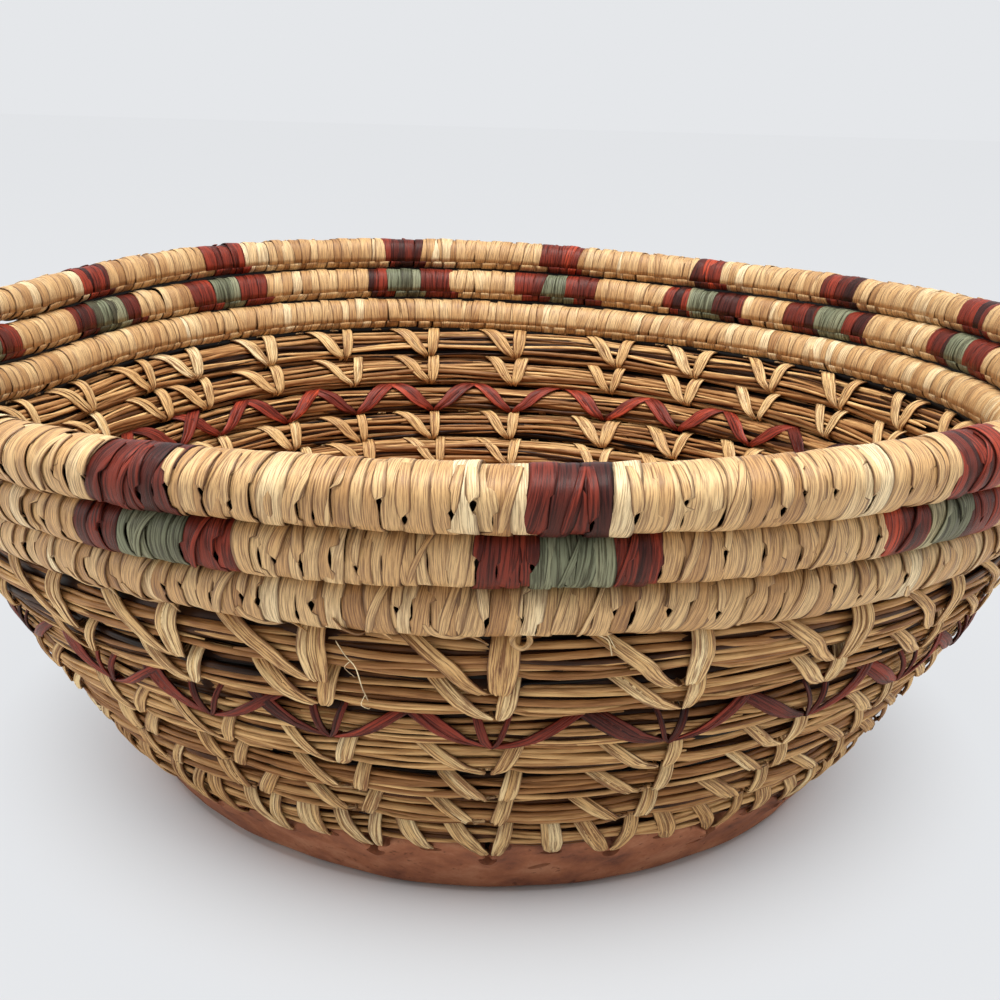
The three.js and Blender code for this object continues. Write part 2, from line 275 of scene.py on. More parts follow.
def lengths_along(centres):
    steps = np.linalg.norm(np.diff(centres, axis=0), axis=1)
    return np.concatenate([[0], np.cumsum(steps)])


def smoothed(points, times):
    for _ in range(times):
        points[1:-1] = (points[:-2] + 2 * points[1:-1] + points[2:]) / 4
    return points


def rings_along(centres, normals, offsets, lifts):
    """Rings of points round a path, offset to its side and lifted off the skin that it lies on."""
    tangents = unit(np.gradient(centres, axis=0))
    sides = unit(np.cross(tangents, normals))
    normals = unit(np.cross(sides, tangents))
    return centres[:, None] + sides[:, None] * offsets[..., None] + normals[:, None] * lifts[..., None]


def add_ribbon(strands, centres, normals, half_widths, thickness, tone, ridges, ridge_height, twist):
    """A strand of raffia: a crowned ribbon with fibres that stand up as ridges along it."""
    along = lengths_along(centres)
    shares = np.linspace(-1, 1, ridges)
    crown = 0.35 + 0.65 * np.sqrt(np.clip(1 - shares**2 * 0.96, 0, 1))
    fibre = rng.uniform(-1, 1, ridges)
    drift = rng.uniform(0, 2 * math.pi, ridges)
    pace = rng.uniform(0.25, 0.6, ridges)
    ridge = fibre * (0.65 + 0.35 * np.sin(along[:, None] * pace + drift))
    top = thickness * crown + ridge_height * ridge + twist * shares
    bottom_shares = np.array([0.92, -0.92])
    bottom = np.tile(-0.12 + twist * bottom_shares, (len(centres), 1))
    all_shares = np.concatenate([shares, bottom_shares])
    offsets = half_widths[:, None] * all_shares
    rings = rings_along(centres, normals, offsets, np.concatenate([top, bottom], axis=1))
    strands.add(rings, offsets, along, tone, np.abs(all_shares))


def add_needle(strands, centres, normals, half_width, half_thickness, tone, sides_count=6):
    """A thin round strand with blunt ends."""
    taper = np.ones(len(centres))
    taper[[0, -1]] = 0.35
    angles = np.arange(sides_count) * 2 * math.pi / sides_count + rng.uniform(0, 1)
    across = half_width * np.cos(angles)
    offsets = taper[:, None] * across
    lifts = taper[:, None] * half_thickness * np.sin(angles)
    strands.add(rings_along(centres, normals, offsets, lifts), offsets, lengths_along(centres), tone)


# Materials
WHITE = (255, 255, 255)
ROUGHNESS_SPREAD = 0.12
FIBRE_STRETCH = 0.04
BLOTCH_SCALE = (0.3, 0.12, 1.0)
STREAK_FROM, STREAK_TO = 0.41, 0.56


def srgb(*levels):
    linear = [((v / 255 + 0.055) / 1.055) ** 2.4 if v > 10 else v / 255 / 12.92 for v in levels]
    return (*linear, 1.0)


def connect(tree, node, inputs):
    """Sets a node's inputs, each to a value or to the output of another node."""
    for name, value in inputs.items():
        if isinstance(value, bpy.types.NodeSocket):
            tree.links.new(value, node.inputs[name])
        else:
            node.inputs[name].default_value = value


def add_node(tree, kind, inputs, **settings):
    node = tree.nodes.new("ShaderNode" + kind)
    for name, value in settings.items():
        setattr(node, name, value)
    connect(tree, node, inputs)
    return node


def new_material(name):
    material = bpy.data.materials.new(name)
    material.use_nodes = True
    return material, material.node_tree


def attribute(tree, name, output="Fac"):
    return add_node(tree, "Attribute", {}, attribute_name=name).outputs[output]


def noise(tree, vector, scale, detail, roughness=0.5):
    inputs = {"Vector": vector, "Scale": scale, "Detail": detail, "Roughness": roughness}
    return add_node(tree, "TexNoise", inputs).outputs["Fac"]


def stretched(tree, vector, scale):
    return add_node(tree, "Mapping", {"Vector": vector, "Scale": scale}).outputs["Vector"]


def ramp(tree, factor, stops):
    """Colour that follows a factor, through stops that are a position and sRGB levels each."""
    node = add_node(tree, "ValToRGB", {"Fac": factor})
    elements = node.color_ramp.elements
    while len(elements) < len(stops):
        elements.new(0.5)
    for element, (position, levels) in zip(elements, stops):
        element.position = position
        element.color = srgb(*levels)
    return node.outputs["Color"]


def mixed(tree, kind, factor, first, second):
    colours = {0: factor, 6: first, 7: second}
    return add_node(tree, "Mix", colours, data_type="RGBA", blend_type=kind).outputs[2]


def dress_shader(tree, colour, rough_by, rough_low, rough_high, bump_by, bump_strength, bump_mm):
    """Puts a colour, a varying roughness and a bump on a material's shader."""
    rough = add_node(tree, "MapRange", {"Value": rough_by, "To Min": rough_low, "To Max": rough_high})
    bump = add_node(tree, "Bump", {"Height": bump_by, "Strength": bump_strength, "Distance": bump_mm * MM})
    shader = tree.nodes["Principled BSDF"]
    dressed = {"Base Color": colour, "Roughness": rough.outputs["Result"], "Normal": bump.outputs["Normal"]}
    connect(tree, shader, dressed)
    return shader


def strand_material(
    name,
    colours,
    streak_and_edge_shade_dark,
    positions=(0.1, 0.4, 0.7, 1.0),
    fibre_scale=3.6,
    fibre_depth=0.15,
    roughness=0.5,
    blotch=0.35,
    streak_share=0.85,
    painted_edge_shade_from=0.72,
    sheen=0.35,
):
    """Fibres run along each strand, because the grain attribute holds the place across and along it."""
    material, tree = new_material(name)
    grain = attribute(tree, "grain", "Vector")
    fibre_vector = stretched(tree, grain, (fibre_scale, fibre_scale * FIBRE_STRETCH, 1.0))
    fibres = noise(tree, fibre_vector, 1.0, 5.0, 0.62)
    blotches = noise(tree, stretched(tree, grain, BLOTCH_SCALE), 1.0, 3.0)
    tone = {0: blotches, 1: blotch, 2: attribute(tree, "tone")}
    total = add_node(tree, "Math", tone, operation="MULTIPLY_ADD").outputs[0]
    streaks = ramp(tree, fibres, [(STREAK_FROM, streak_and_edge_shade_dark), (STREAK_TO, WHITE)])
    tones = ramp(tree, total, list(zip(positions, colours)))
    colour = mixed(tree, "MULTIPLY", streak_share, tones, streaks)
    # Painted shade: each strand darkens towards its rim in the dark streak colour, standing in for the shade in
    # the creases between strands.
    edges = ramp(tree, attribute(tree, "rim"), [(painted_edge_shade_from, WHITE), (1.0, streak_and_edge_shade_dark)])
    colour = mixed(tree, "MULTIPLY", 0.8, colour, edges)
    low, high = roughness - ROUGHNESS_SPREAD, roughness + ROUGHNESS_SPREAD
    shader = dress_shader(tree, colour, fibres, low, high, fibres, 1.0, fibre_depth)
    shader.inputs["Specular IOR Level"].default_value = sheen
    return material


def clay_material():
    material, tree = new_material("fired_clay")
    where = add_node(tree, "TexCoord", {}).outputs["Object"]
    coarse = noise(tree, where, 85.0, 8.0, 0.65)
    fine = noise(tree, where, 700.0, 4.0)
    stops = [(0.32, (80, 46, 35)), (0.41, (130, 78, 56)), (0.53, (163, 102, 71)), (0.66, (186, 130, 98))]
    specks = ramp(tree, fine, [(0.28, (110, 66, 50)), (0.38, WHITE)])
    colour = mixed(tree, "MULTIPLY", 0.6, ramp(tree, coarse, stops), specks)
    dress_shader(tree, colour, coarse, 0.55, 0.85, fine, 0.6, 0.15)
    return material


NATURAL = strand_material(
    "raffia_stitches",
    [(186, 142, 88), (218, 178, 120), (234, 202, 146), (248, 228, 180)],
    streak_and_edge_shade_dark=(124, 78, 40),
    fibre_scale=4.4,
    fibre_depth=0.2,
    blotch=0.45,
)
NATURAL_WRAPS = strand_material(
    "raffia_wraps",
    [(176, 132, 82), (210, 170, 116), (226, 194, 142), (250, 236, 196)],
    streak_and_edge_shade_dark=(112, 70, 36),
    fibre_scale=6.0,
    fibre_depth=0.12,
    blotch=0.5,
    streak_share=0.66,
    painted_edge_shade_from=0.7,
    sheen=0.5,
)
BURGUNDY = strand_material(
    "burgundy_raffia",
    [(62, 28, 24), (112, 44, 32), (150, 58, 40), (200, 80, 48)],
    streak_and_edge_shade_dark=(86, 44, 38),
    roughness=0.42,
    streak_share=0.8,
    painted_edge_shade_from=0.82,
    sheen=0.2,
)
SAGE = strand_material(
    "sage_raffia",
    [(86, 84, 66), (124, 130, 106), (150, 152, 124), (206, 190, 148)],
    streak_and_edge_shade_dark=(96, 86, 62),
    painted_edge_shade_from=0.82,
    sheen=0.25,
)
NEEDLES = strand_material(
    "pine_needles",
    [(14, 8, 5), (50, 29, 17), (112, 73, 43), (170, 125, 80), (226, 188, 132)],
    streak_and_edge_shade_dark=(146, 104, 62),
    positions=(0.0, 0.12, 0.35, 0.65, 1.0),
    fibre_scale=3.0,
    fibre_depth=0.05,
    roughness=0.4,
    streak_share=0.5,
    sheen=0.14,
)
CLAY = clay_material()


def column_travel(row, column):
    return (row - 1) * FULL_TURN + column * COLUMN_STEP + COLUMN_DRIFT.get(column % COLUMNS, 0)


def half_way(column):
    return (column_travel(1, column) + column_travel(1, column + 1)) / 2


def lashed_to_saucer(travel):
    return travel < FULL_TURN - STEP_UP + COLUMN_STEP / 2


# Clay saucer: a turned profile with soft edges, uneven by hand, pierced under each stitch
SAUCER_SIDES = 360
PROFILE_STEP = 1.5
# Its unevenness as waves round it: size, count and phase, and for the wall's a pace up it before the phase
ROUND_WAVES = ((0.30, 3, 0.4), (0.22, 7, 2.0), (0.16, 13, 4.1), (0.10, 29, 1.3))
WALL_WAVES = ((0.1, 23, 0.5, 1.0), (0.08, 41, -0.7, 3.2), (0.06, 67, 0.9, 5.0), (0.05, 90, -1.3, 2.0))
EDGE_WAVES = ((0.25, 5, 1.0), (0.42, 17, 3.0), (0.33, 37, 0.2))
# How deep the edge dips at each stitch, and over how many degrees
DIP_DEPTHS = (1.8, 3.2)
DIP_DEGREES = 1.5


def ripple(angles, sizes):
    return sum(size * np.sin(count * angles + phase) for size, count, phase in sizes)


def rounded_profile(corners):
    """Softens each corner, given as radius, height and how far from it the curve starts."""
    profile = []
    for i, (radius, height, soft) in enumerate(corners):
        here = np.array([radius, height])
        if not soft:
            profile.append(here)
            continue
        before = np.array(corners[i - 1][:2]) - here
        after = np.array(corners[i + 1][:2]) - here
        start = here + before / np.linalg.norm(before) * soft
        end = here + after / np.linalg.norm(after) * soft
        for share in np.linspace(0, 1, 6):
            profile.append((1 - share) ** 2 * start + 2 * share * (1 - share) * here + share**2 * end)
    return profile


def subdivided(profile):
    fine = [profile[0]]
    for point in profile[1:]:
        last = fine[-1]
        steps = max(1, int(np.linalg.norm(point - last) / PROFILE_STEP))
        fine += [last + (point - last) * k / steps for k in range(1, steps + 1)]
    return np.array(fine)


def bridge(body, lower, upper):
    """Joins two rings of vertices with faces."""
    for i in range(len(lower)):
        j = (i + 1) % len(lower)
        body.faces.new((lower[i], lower[j], upper[j], upper[i]))


def object_from(name, body):
    bmesh.ops.recalc_face_normals(body, faces=body.faces)
    mesh = bpy.data.meshes.new(name)
    body.to_mesh(mesh)
    body.free()
    return new_object(name, mesh)


def whole_saucer():
    edge_out = arc_point(SAUCER_TOP, SAUCER_WALL / 2)
    edge_in = arc_point(SAUCER_TOP, -SAUCER_WALL / 2)
    height_out = edge_out[1] + ROW_ONE_HEIGHT
    height_in = edge_in[1] + ROW_ONE_HEIGHT
    run = 1 / math.tan(FOOT_SLOPE)
    foot_radius = edge_out[0] - height_out * run
    floor_radius = edge_in[0] - (height_in - SAUCER_FLOOR) * run
    corners = [
        (0.0, 0.0, 0),
        (foot_radius - 1.2, 0.0, 0.5),
        (foot_radius + 0.9 * run, 0.9, 1.2),
        (edge_out[0], height_out, 1.3),
        (edge_in[0], height_in, 1.3),
        (floor_radius, SAUCER_FLOOR, 6),
        (0.0, SAUCER_FLOOR, 0),
    ]
    radii, heights = subdivided(rounded_profile(corners))[1:-1].T[..., None]
    angles = np.arange(SAUCER_SIDES) * 2 * math.pi / SAUCER_SIDES
    radius = radii + ripple(angles, ROUND_WAVES) * np.clip(radii / foot_radius, 0, 1) ** 4
    wall = np.clip((heights - 1) / 2, 0, 1)
    for size, count, pace, phase in WALL_WAVES:
        radius = radius + size * wall * np.sin(count * angles + pace * heights + phase)
    feet = np.array([column_travel(1, column) + COIL_START for column in range(COLUMNS)])
    away = np.abs(shortest_way(np.degrees(angles)[:, None] - feet))
    depths = rng.uniform(*DIP_DEPTHS, COLUMNS)[away.argmin(1)]
    dent = ripple(angles, EDGE_WAVES) - depths * bell(away.min(1), DIP_DEGREES)
    height = heights + dent * np.clip((heights - 8) / 8, 0, 1)
    body = bmesh.new()
    rings = np.stack([radius * np.sin(angles), -radius * np.cos(angles), height], -1)
    grid = [[body.verts.new(point * MM) for point in ring] for ring in rings]
    for lower, upper in zip(grid, grid[1:]):
        bridge(body, lower, upper)
    for ring, middle_height, turned in ((grid[0], 0.0, True), (grid[-1], SAUCER_FLOOR, False)):
        middle = body.verts.new((0, 0, middle_height * MM))
        for i in range(SAUCER_SIDES):
            j = (i + 1) % SAUCER_SIDES
            body.faces.new((ring[j], ring[i], middle) if turned else (ring[i], ring[j], middle))
    return object_from("clay_saucer", body)


# Slanted bores through the saucer's wall and nicks in its face: how far up from row one's middle, half width,
# half height, how far out they start and tilt
COLUMN_BORE = (HOLE_MIDDLE - 0.3, 1.7, 1.7, -SAUCER_WALL, 0.0)
LASHING_BORE = (LASHING_HOLE, 2.0, 0.8, -SAUCER_WALL, 0.0)
FRONT_NICK = (-11.4, 2.2, 0.8, SAUCER_WALL / 2 - 2.6, 0.45)
FRONT_NICK_TRAVEL = 7.0 + COLUMNS_BEFORE_FRONT * FULL_TURN / COLUMNS
NICKS = 18
BORE_SIDES = 14


def usual_nick():
    half_width = rng.uniform(0.9, 1.9)
    half_height = rng.uniform(0.3, 0.6)
    up = rng.uniform(-14.5, -12)
    return up, half_width, half_height, SAUCER_WALL / 2 - rng.uniform(0.6, 1.6), rng.uniform(-0.2, 0.7)


def hole_cutters():
    """Bores at the first row's stitches and half-way between them, and nicks."""
    bores = [(column_travel(1, column), *COLUMN_BORE) for column in range(COLUMNS)]
    bores += [(half_way(column), *LASHING_BORE) for column in range(COLUMNS)]
    bores = [bore for bore in bores if lashed_to_saucer(bore[0])]
    others = FRONT_NICK_TRAVEL - 3 + np.arange(1, NICKS) * 20 + rng.uniform(-6, 6, NICKS - 1)
    nicks = [(travel, *usual_nick()) for travel in (FRONT_NICK_TRAVEL, *others)]
    nicks[0] = (FRONT_NICK_TRAVEL, *FRONT_NICK)
    spokes = [2 * math.pi * k / BORE_SIDES for k in range(BORE_SIDES)]
    cutters = bmesh.new()
    for travel, up, half_width, half_height, reach, tilt in bores + nicks:
        outer, inner = place(travel, np.array([up] * 2), np.array([SAUCER_WALL, reach]))
        angle = math.radians(travel + COIL_START)
        level = np.array([math.cos(angle), math.sin(angle), 0])
        upright = np.cross(level, unit(outer - inner))
        sideways = level * math.cos(tilt) - upright * math.sin(tilt)
        upwards = level * math.sin(tilt) + upright * math.cos(tilt)
        rings = []
        for end in (inner, outer):
            ring = []
            for spoke in spokes:
                point = end + sideways * half_width * math.cos(spoke) + upwards * half_height * math.sin(spoke)
                ring.append(cutters.verts.new(point * MM))
            rings.append(ring)
        bridge(cutters, *rings)
        cutters.faces.new(rings[0][::-1])
        cutters.faces.new(rings[1])
    return object_from("bores", cutters)


def saucer():
    piece = whole_saucer()
    cutters = hole_cutters()
    cut = piece.modifiers.new("bores", "BOOLEAN")
    cut.operation = "DIFFERENCE"
    cut.solver = "EXACT"
    cut.object = cutters
    bpy.context.view_layer.update()
    depsgraph = bpy.context.evaluated_depsgraph_get()
    mesh = bpy.data.meshes.new_from_object(piece.evaluated_get(depsgraph))
    piece.modifiers.clear()
    uncut = piece.data
    piece.data = mesh
    bpy.data.meshes.remove(uncut)
    bpy.data.objects.remove(cutters, do_unlink=True)
    mesh.shade_smooth()
    mesh.set_sharp_from_angle(angle=math.radians(50))
    mesh.materials.clear()
    mesh.materials.append(CLAY)
    return piece


clay_saucer = saucer()


def start_fullness(travel):
    """Fullness of the bundle where the coil starts, below the step up."""
    full = ((ROW_LINES[1] - ROW_LINES[0]) * step_up_share(travel) - STRAND_GAP) / (2 * BUNDLE_HALF_HEIGHT)
    return np.where(travel < 0, np.clip(full, 0.05, 1), 1.0)


def end_fullness(travel):
    """Fullness of the wrapped coil where it ends on the rim."""
    share = np.clip((travel - TAPER_START) / STEP_UP, 0, 1)
    full = ((ROW_LINES[-2] - ROW_LINES[-3]) * (1 - share) - WRAP_GAP) / (2 * WRAP_HALF_HEIGHT)
    return np.where(travel > TAPER_START, np.clip(full, 0.05, 1), 1.0)


# Needle coil
NEEDLE_HALF_HEIGHT = 3.8
NEEDLE_HALF_WIDTH = 3.9
NEEDLE_LENGTH = (110.0, 230.0)
NEEDLE_STEP = 3.6
MEAN_ROW_RADIUS = 95
# How the maker's bundles differ, from row one up: how far each sags and how full it is
BUNDLE_SAG = [0.0, -0.3, -0.3, 0.1, 0.5, 1.1, 0.9]
BUNDLE_FULLNESS = [1.0, 0.97, 1.0, 1.0, 0.98, 0.92, 1.12]
# The stitches draw the needles in, at these turns of their own row and of the next one
DRAWN_TURN, DRAWN_TURN_NEXT = -52, 72
DRAWN_SHARE = 0.34
DRAWN_TURNS = 34
DRAWN_TRAVEL = 1.8
STITCH_TRAVELS = np.array([column_travel(row, k) for row in range(1, BARE_ROWS + 2) for k in range(COLUMNS)])


def by_row(travel, levels):
    """Level of a row, changing slowly into that of the next row on the way up."""
    return np.interp(travel / FULL_TURN, np.arange(BARE_ROWS) + 0.5, levels)


def bundle_outline(travel, depth):
    full = start_fullness(travel)
    between = np.sin(math.pi * np.mod(travel, COLUMN_STEP) / COLUMN_STEP) ** 2
    size = (0.96 + 0.06 * between) * full * depth
    half_height = NEEDLE_HALF_HEIGHT * size * by_row(travel, BUNDLE_FULLNESS)
    raised = -BUNDLE_HALF_HEIGHT * (1 - full) - by_row(travel, BUNDLE_SAG) * full
    return oval(half_height, NEEDLE_HALF_WIDTH * size, 0.92, raised)


def drawn_in(travel, turn):
    """Share by which the stitches draw the needles in."""

    def near(places, middle_turn):
        gaps = np.abs(places[:, None] - STITCH_TRAVELS).min(1)
        return bell(gaps, DRAWN_TRAVEL) * bell(shortest_way(turn - middle_turn), DRAWN_TURNS)

    return DRAWN_SHARE * (near(travel, DRAWN_TURN) + near(travel + FULL_TURN, DRAWN_TURN_NEXT))


def painted_shade_tone(tone, turn):
    """Painted shade where rows meet: needles on top of a bundle and below it are darker, less so towards the
    inside of the bowl.
    """
    middle = math.radians(turn.mean())
    painted_shade = 0.1 if math.cos(middle) < -0.05 else 0.4
    return tone - painted_shade * np.clip((abs(math.sin(middle)) - 0.75) / 0.25, 0, 1)


def add_needle_layer(strands, slots, depth, sides_count, dark_share, half_widths, first, last):
    """Needles end to end in slots round the bundle, at a depth that is a share of its size."""
    for home in np.arange(slots) * FULL_TURN / slots:
        travel = first - rng.uniform(0, 60)
        while travel < last:
            end = travel + degrees_along(rng.uniform(*NEEDLE_LENGTH), travel)
            low, high = max(travel, first), min(end, last)
            if high - low > 4:
                length = math.radians(high - low) * MEAN_ROW_RADIUS
                path = np.linspace(low, high, max(4, int(length / NEEDLE_STEP)))
                turn = home + rng.uniform(-9, 9) + waves(path, rng.integers(1 << 30), [31, 55, 110], 20)
                level = depth + rng.uniform(-0.09, 0.06) + waves(path, rng.integers(1 << 30), [37, 71], 0.06)
                outline = bundle_outline(path, level - drawn_in(path, turn))
                centres, normals = on_row(path, turn, 0, outline)
                half_width = rng.uniform(*half_widths)
                tone = rng.uniform(-0.1, 0.15) if rng.uniform() < dark_share else rng.uniform(0.3, 0.8)
                tone = painted_shade_tone(tone, turn)
                add_needle(strands, centres, normals, half_width, half_width * 0.85, tone, sides_count)
            travel = end + rng.uniform(-4, 1)


CORE_SIDES = 8
CORE_STEP = 4.0
# Painted shade: the core inside the bundle is near black, standing in for the shade seen between the needles.
CORE_SHADE_TONE = -0.05
# Dark loops that give the shade behind the saucer's bores, between the bare rows and between the wraps
SHADE_TONE = -0.3
SHADES = (
    (-STEP_UP, FULL_TURN - STEP_UP, oval(3.0, 1.3, 0.8, SAUCER_TOP - 2.8)),
    (0, WRAP_START, oval(4.7, 1.3)),
    (WRAP_START, TAPER_START, oval(1.6, 1.3, 1.0, -WRAP_HALF_HEIGHT - WRAP_GAP / 2)),
)


def add_core(strands, path, outline, tone):
    turns = np.arange(CORE_SIDES) * FULL_TURN / CORE_SIDES
    rings = np.stack([on_row(path, turn, 0, outline)[0] for turn in turns], 1)
    strands.add(rings, np.linspace(-3, 3, CORE_SIDES), np.arange(len(path)) * 6.0, tone)


def needle_coil():
    strands = Strands()
    first = -(STEP_UP_COLUMNS - 0.7) * COLUMN_STEP
    last = WRAP_START + 12
    add_needle_layer(strands, 25, 0.97, 6, 0.12, (0.28, 0.68), first, last)
    # Painted shade: the inner layer is mostly dark needles, standing in for the shade seen between the outer ones.
    add_needle_layer(strands, 14, 0.74, 5, 0.8, (0.45, 0.75), first, last)
    path = np.arange(first, COIL_END - STEP_UP * 0.5, CORE_STEP)
    full = np.minimum(start_fullness(path), end_fullness(path))
    raised = np.where(path < 0, -BUNDLE_HALF_HEIGHT, WRAP_HALF_HEIGHT) * (1 - full)
    add_core(strands, path, oval(2.9 * full, 2.8 * full, 1.0, raised), CORE_SHADE_TONE)
    for start, end, outline in SHADES:
        add_core(strands, np.arange(start, end, CORE_STEP), outline, SHADE_TONE)
    return strands.build("needle_bundle_coil", NEEDLES)


# Wrapped rows
def wrap_outline(travel):
    full = end_fullness(travel)
    return oval(WRAP_HALF_HEIGHT * full, WRAP_HALF_WIDTH * full, 0.82, WRAP_HALF_HEIGHT * (1 - full))


def plan_motifs():
    """Spans of the motifs' patches, as travel from and to, colour and the motif's number."""
    spans = []
    for i in range(MOTIFS):
        angle = FIRST_MOTIF_ANGLE + i * FULL_TURN / MOTIFS + MOTIF_DRIFT[i] - COIL_START
        in_turn = angle - FULL_TURN * math.floor((angle + COLUMN_STEP) / FULL_TURN)
        rim = COIL_END - FULL_TURN + in_turn
        under = rim - FULL_TURN
        half_rim = degrees_along(RIM_PATCH / 2 - 0.3, rim)
        half_sage = degrees_along(SAGE_PATCH / 2, under)
        side = degrees_along(SIDE_PATCH, under)
        left, right = under - half_sage, under + half_sage
        spans.append((rim - half_rim, rim + half_rim, "burgundy", i))
        spans.append((left - side, left, "burgundy", i))
        spans.append((left, right, "sage", i))
        spans.append((right, right + side, "burgundy", i))
    return spans


MOTIF_SPANS = plan_motifs()


def colour_at(travel):
    """Colour of the wraps at a travel, and which motif or row they belong to."""
    for start, end, colour, i in MOTIF_SPANS:
        if start <= travel < end:
            return colour, i
    return "natural", int(min((travel - WRAP_START) // FULL_TURN, WRAPPED_ROWS - 1))


wraps = {("natural", i): Strands() for i in range(WRAPPED_ROWS)}
wraps |= {(colour, i): Strands() for colour in ("burgundy", "sage") for i in range(MOTIFS)}

# Holes between the wraps: places along one as shares of its length, and how open it is there. Beyond its ends it
# is SHUT, which lets the wraps overlap.
SHUT = -1.6
HOLE_SHAPES = {
    "triangle": ([-2, 0, 1, 1.2, 2.2], [SHUT, 0, 1, 1, SHUT]),
    "slit": ([-1.2, 0, 0.3, 0.6, 1, 2.2], [SHUT, 0, 0.9, 1, 0, SHUT]),
}
WIDE_TONGUE_SHARE = 0.28
# Slits, wide and hairline ones: travel of the first, turns of the lower end, lengths, half widths and gaps
SLITS = (
    (8, (-40, 5), (20, 50), (0.1, 0.3), (6, 16)),
    (7, (-45, 10), (30, 75), (0.05, 0.13), (2, 8)),
)


def plan_openings():
    """Tongues (strands that dive between their neighbours, many with a small hole below) and holes."""
    tongues = []
    holes = []
    travel = WRAP_START + 5
    while travel < TAPER_START:
        if rng.uniform() < WIDE_TONGUE_SHARE:
            tongues.append([travel, rng.uniform(-40, -20), rng.uniform(2.2, 4.2), None])
        else:
            tip = rng.uniform(-8, 28)
            tongues.append([travel, tip, rng.normal(0.2, 0.6), len(holes)])
            holes.append([travel, tip - rng.uniform(10, 18), tip, rng.uniform(0.3, 0.55), "triangle"])
        travel += degrees_along(rng.uniform(2.8, 8.0), travel)
    for first, lows, lengths, half_widths, gaps in SLITS:
        travel = WRAP_START + first
        while travel < TAPER_START:
            low = rng.uniform(*lows)
            holes.append([travel, low, low + rng.uniform(*lengths), rng.uniform(*half_widths), "slit"])
            travel += degrees_along(rng.uniform(*gaps), travel)
    return tongues, holes


tongues, holes = plan_openings()

WRAP_PITCH = 2.2
WRAP_TURNS = np.concatenate(
    [np.arange(-140, -76, 16), np.arange(-76, 70, 5.5), [75, 85, 95, 105], np.arange(120, 225, 20)]
)
BAND_POINTS = 8


def draw_aside(path, travel, turns):
    """Draws a band aside where it would cover a hole."""
    for middle, bottom, top, half_width, shape in holes:
        if abs(middle - path.mean()) > 3:
            continue
        share = (turns - bottom) / (top - bottom)
        open_half = half_width * np.interp(share, *HOLE_SHAPES[shape])
        open_half = np.where(open_half < 0, SHUT, open_half)
        side = -1 if np.interp((bottom + top) / 2, turns, path) < middle else 1
        limit = (middle + side * degrees_along(open_half, middle))[:, None]
        over = side * (limit - travel)
        travel = np.where(over > 0, limit - side * over * 0.06, travel)
    return travel


def add_band(strands, path, turns, half_widths, lift, thickness, tone, tilt, ridge_height=0.015, rim=0.0):
    """A flat strand laid on a wrapped row, as a grid of points along it and across it."""
    shares = np.linspace(-1, 1, BAND_POINTS)
    across = np.concatenate([shares, [0.94, -0.94]])
    offsets = half_widths[:, None] * across
    travel = draw_aside(path, path[:, None] + degrees_along(offsets, path[:, None]), turns)
    along = np.abs(np.radians(turns - turns[0])) * WRAP_HALF_HEIGHT
    crown = 0.75 + 0.25 * np.sqrt(np.clip(1 - shares**2, 0, 1))
    crown[[0, -1]] = 0.2
    fibre = rng.uniform(-1, 1, BAND_POINTS)
    drift = rng.uniform(0, 2 * math.pi, BAND_POINTS)
    ridge = fibre * (0.6 + 0.4 * np.sin(along[:, None] * 0.5 + drift))
    top = thickness * crown + ridge_height * ridge + tilt * shares
    bottom = np.tile(-0.1 + tilt * across[-2:], (len(turns), 1))
    lifts = lift[:, None] + np.concatenate([top, bottom], 1)
    rings, _ = on_row(travel, turns[:, None], lifts, wrap_outline(travel))
    # A larger rim makes the material's painted edge shade start nearer the band's middle.
    strands.add(rings, offsets, along, tone, np.abs(across) + rim)


def add_wraps():
    """Winds the raffia, each turn a band that wanders a little, with the holes where two bands meet."""
    last = TAPER_START + TIP_END_SHARE * STEP_UP
    travels = [WRAP_START + degrees_along(6, WRAP_START)]
    while travels[-1] < last:
        travels.append(travels[-1] + degrees_along(WRAP_PITCH * rng.uniform(0.4, 1.6), travels[-1]))
    steps = np.diff(travels)
    share = (WRAP_TURNS - WRAP_TURNS[0]) / FULL_TURN
    face_share = -WRAP_TURNS[0] / FULL_TURN
    slope = 0.0
    paths = []
    for travel, step in zip(travels[1:-1], steps[1:]):
        slope = 0.85 * slope + rng.normal(0, 0.24)
        lean = degrees_along(slope + rng.normal(0, 0.2), travel)
        paths.append(travel + step * (share - face_share) + lean * np.sin(np.radians(WRAP_TURNS)))
    paths = np.array(paths)
    for hole in holes:
        nearby = np.searchsorted(travels[1:-1], hole[0])
        turn = np.abs(WRAP_TURNS - (hole[1] + hole[2]) / 2).argmin()
        meeting = np.sort(paths[max(nearby - 3, 0) : nearby + 3, turn])
        meeting = (meeting[1:] + meeting[:-1]) / 2
        hole[0] = meeting[np.abs(meeting - hole[0]).argmin()]
    for k, path in enumerate(paths, 1):
        lift = rng.uniform(0.0, 0.26) + 0.05 * np.sin(np.radians(WRAP_TURNS) * 2 + rng.uniform(0, 6))
        lift = lift + rng.uniform(-0.2, 0.45) * bell(WRAP_TURNS + 66, 26)
        lift = lift + rng.uniform(-0.15, 0.3) * bell(WRAP_TURNS - 90, 40)
        half = max(steps[k - 1], steps[k]) / 2 / degrees_along(1.0, travels[k]) + rng.uniform(0.15, 0.5)
        widths = half + 0.17 * np.sin(np.radians(WRAP_TURNS) * rng.uniform(1, 3) + rng.uniform(0, 6))
        strands = wraps[colour_at(travels[k])]
        tone = min(rng.normal(0.26, 0.19), 0.66)
        add_band(strands, path, WRAP_TURNS, widths, lift, 0.12, tone, rng.normal(0.07, 0.05))


